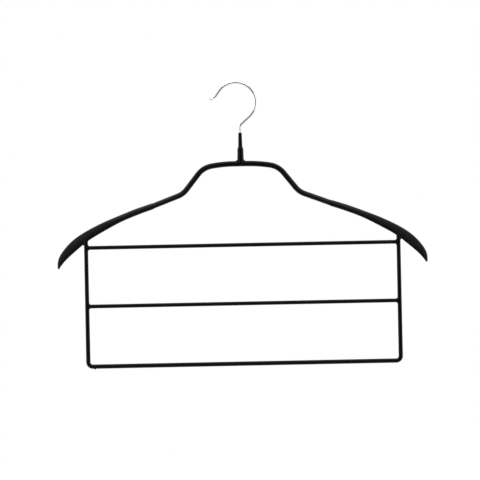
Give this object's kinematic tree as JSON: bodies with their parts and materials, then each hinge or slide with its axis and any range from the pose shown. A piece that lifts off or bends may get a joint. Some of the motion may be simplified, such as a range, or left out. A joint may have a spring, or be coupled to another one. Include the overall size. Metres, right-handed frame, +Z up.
{
  "type": "multi tier trouser hanger",
  "caption": "Black vinyl-dipped steel wire clothes hanger with flattened shoulder blades, a ladder of level trouser bars under them and a chromed hook that swivels in the neck.",
  "frame": {"origin": "inside top of the hook's bow, where the hanger rests on a wardrobe rail", "axes": "+X along the bars towards the right shoulder seen from the front, +Y from front to back, +Z up"},
  "size_m": [0.444, 0.0078, 0.3426],
  "materials": {
    "chromed_wire": "bright chrome plate over spring wire",
    "mild_steel": "bare drawn mild steel wire, hidden under the vinyl",
    "black_vinyl": "satin black dipped PVC with a slight orange-peel"
  },
  "bodies": {
    "hook": {"hook": "chromed_wire"},
    "frame": {"swivel_socket": "mild_steel", "shoulder_wire": "mild_steel", "ladder_wire": "mild_steel", "top_bar_wire": "mild_steel", "middle_bar_wire": "mild_steel", "neck_coating": "black_vinyl", "left_shoulder_coating": "black_vinyl", "right_shoulder_coating": "black_vinyl", "left_arm_coating": "black_vinyl", "right_arm_coating": "black_vinyl", "left_upright_coating": "black_vinyl", "right_upright_coating": "black_vinyl", "top_bar_coating": "black_vinyl", "middle_bar_coating": "black_vinyl", "bottom_bar_coating": "black_vinyl"}
  },
  "joints": [
    {"name": "hook_swivel", "type": "hinge", "parent": "hook", "child": "frame", "pos_m": [0.0046, 0, -0.07], "axis": [0, 0, 1], "continuous": true}
  ]
}
